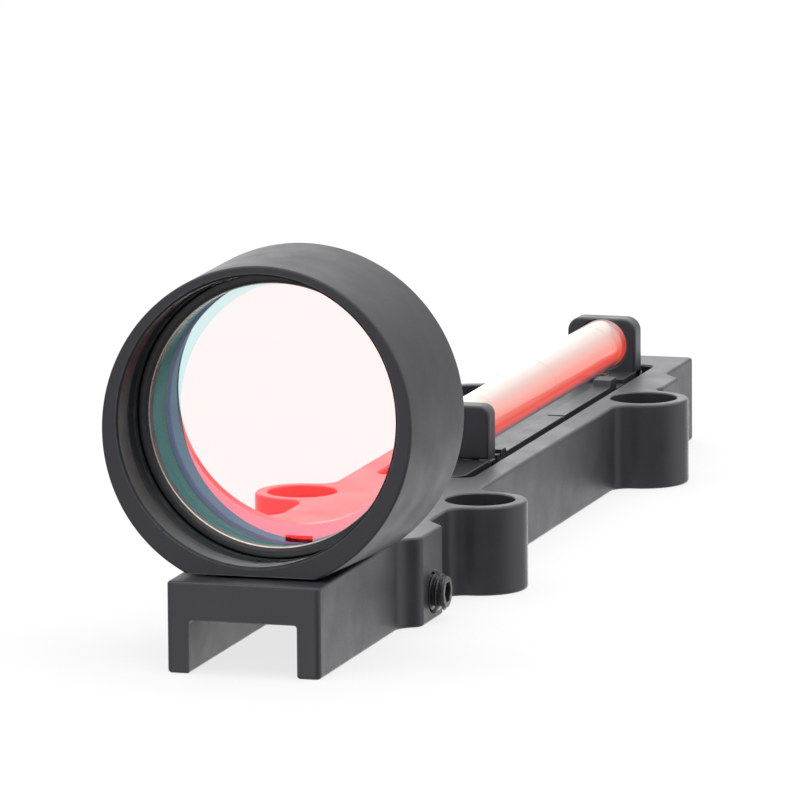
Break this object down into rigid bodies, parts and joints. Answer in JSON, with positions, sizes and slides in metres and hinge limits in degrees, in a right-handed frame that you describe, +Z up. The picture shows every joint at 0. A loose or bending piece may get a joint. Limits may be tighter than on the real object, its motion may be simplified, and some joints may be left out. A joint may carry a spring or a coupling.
{
  "type": "fibre-optic red dot sight",
  "caption": "Low red dot sight on an inverted-U rail: tilted lens in a tapered ring, fluorescent light tube in a hinged cradle, adjusting and clamp screws.",
  "frame": {"origin": "under the middle of the base, on the plane that its legs stand on", "axes": "+Z up, -Y towards the target (the lens end), +Y towards the shooter, +X to the right seen from the lens end"},
  "size_m": [0.035, 0.15, 0.0424],
  "materials": {
    "black_anodised": "bead-blasted, black anodised",
    "ring_anodised": "turned, black anodised",
    "black_oxide_steel": "black oxide",
    "pin_steel": "bright",
    "brass": "bright",
    "nylon": "natural nylon",
    "rubber": "matt",
    "coated_glass": "red-reflecting coating",
    "clear_acrylic": "polished acrylic",
    "fluorescent_red": "fluorescent red fibre",
    "mirror_film": "mirror film",
    "reticle_film": "opaque film"
  },
  "bodies": {
    "base": {"base_rail": "black_anodised", "lens_housing": "black_anodised", "housing_screw_front": "black_oxide_steel", "housing_screw_rear": "black_oxide_steel", "lens_retaining_ring": "ring_anodised", "lens_front_element": "coated_glass", "lens_rear_element": "coated_glass", "lens_gasket": "rubber", "pivot_screw": "pin_steel", "windage_spring": "black_oxide_steel", "elevation_spring": "pin_steel"},
    "swivel": {"swivel_block": "black_anodised", "hinge_pin": "pin_steel"},
    "cradle": {"cradle": "black_anodised", "light_tube": "clear_acrylic", "fibre_core": "fluorescent_red", "reticle_disc": "reticle_film", "tube_gasket_front": "rubber", "tube_gasket_rear": "rubber", "reflector_disc": "mirror_film", "elevation_insert": "brass"},
    "elevation_screw": {"elevation_screw": "black_oxide_steel"},
    "windage_tip": {"windage_tip": "brass"},
    "windage_screw": {"windage_screw": "black_oxide_steel"},
    "clamp_tip_front_right": {"clamp_tip_front_right": "nylon"},
    "clamp_screw_front_right": {"clamp_screw_front_right": "black_oxide_steel"},
    "clamp_tip_front_left": {"clamp_tip_front_left": "nylon"},
    "clamp_screw_front_left": {"clamp_screw_front_left": "black_oxide_steel"},
    "clamp_tip_rear_right": {"clamp_tip_rear_right": "nylon"},
    "clamp_screw_rear_right": {"clamp_screw_rear_right": "black_oxide_steel"},
    "clamp_tip_rear_left": {"clamp_tip_rear_left": "nylon"},
    "clamp_screw_rear_left": {"clamp_screw_rear_left": "black_oxide_steel"}
  },
  "joints": [
    {"name": "windage_yaw", "type": "hinge", "parent": "base", "child": "swivel", "pos_m": [0, -0.005, 0.0085], "axis": [0, 0, -1], "range_deg": [-0.51, 0.51], "deforming": ["windage_spring"]},
    {"name": "elevation_pitch", "type": "hinge", "parent": "swivel", "child": "cradle", "pos_m": [0, 0.0048, 0.00855], "axis": [-1, 0, 0], "range_deg": [-0.51, 0.51], "deforming": ["elevation_spring"]},
    {"name": "elevation_turn", "type": "hinge", "parent": "swivel", "child": "elevation_screw", "pos_m": [0, 0.0625, 0.006], "axis": [0, 0, 1], "range_deg": [-462.5, 462.5]},
    {"name": "windage_slide", "type": "slide", "parent": "base", "child": "windage_tip", "axis": [1, 0, 0], "range_m": [-0.00063, 0.00063]},
    {"name": "windage_turn", "type": "hinge", "parent": "windage_tip", "child": "windage_screw", "pos_m": [-0.0067, 0.0659, 0.0086], "axis": [1, 0, 0], "range_deg": [-568, 568]},
    {"name": "clamp_slide_front_right", "type": "slide", "parent": "base", "child": "clamp_tip_front_right", "axis": [-1, 0, 0], "range_m": [-0.0005, 0.0015]},
    {"name": "clamp_turn_front_right", "type": "hinge", "parent": "clamp_tip_front_right", "child": "clamp_screw_front_right", "pos_m": [0.0095, -0.04, 0.0031], "axis": [-1, 0, 0], "range_deg": [-258, 772]},
    {"name": "clamp_slide_front_left", "type": "slide", "parent": "base", "child": "clamp_tip_front_left", "axis": [1, 0, 0], "range_m": [-0.0005, 0.0015]},
    {"name": "clamp_turn_front_left", "type": "hinge", "parent": "clamp_tip_front_left", "child": "clamp_screw_front_left", "pos_m": [-0.0095, -0.04, 0.0031], "axis": [1, 0, 0], "range_deg": [-258, 772]},
    {"name": "clamp_slide_rear_right", "type": "slide", "parent": "base", "child": "clamp_tip_rear_right", "axis": [-1, 0, 0], "range_m": [-0.0005, 0.0015]},
    {"name": "clamp_turn_rear_right", "type": "hinge", "parent": "clamp_tip_rear_right", "child": "clamp_screw_rear_right", "pos_m": [0.0095, 0.0574, 0.0031], "axis": [-1, 0, 0], "range_deg": [-258, 772]},
    {"name": "clamp_slide_rear_left", "type": "slide", "parent": "base", "child": "clamp_tip_rear_left", "axis": [1, 0, 0], "range_m": [-0.0005, 0.0015]},
    {"name": "clamp_turn_rear_left", "type": "hinge", "parent": "clamp_tip_rear_left", "child": "clamp_screw_rear_left", "pos_m": [-0.0095, 0.0574, 0.0031], "axis": [1, 0, 0], "range_deg": [-258, 772]}
  ],
  "couplings": [
    {"joint": "windage_yaw", "follows": "windage_slide", "rad_per_m": 14.104},
    {"joint": "windage_turn", "follows": "windage_slide", "rad_per_m": 15708},
    {"joint": "elevation_turn", "follows": "elevation_pitch", "ratio": 906.35},
    {"joint": "clamp_turn_front_right", "follows": "clamp_slide_front_right", "rad_per_m": 8976},
    {"joint": "clamp_turn_front_left", "follows": "clamp_slide_front_left", "rad_per_m": 8976},
    {"joint": "clamp_turn_rear_right", "follows": "clamp_slide_rear_right", "rad_per_m": 8976},
    {"joint": "clamp_turn_rear_left", "follows": "clamp_slide_rear_left", "rad_per_m": 8976}
  ]
}
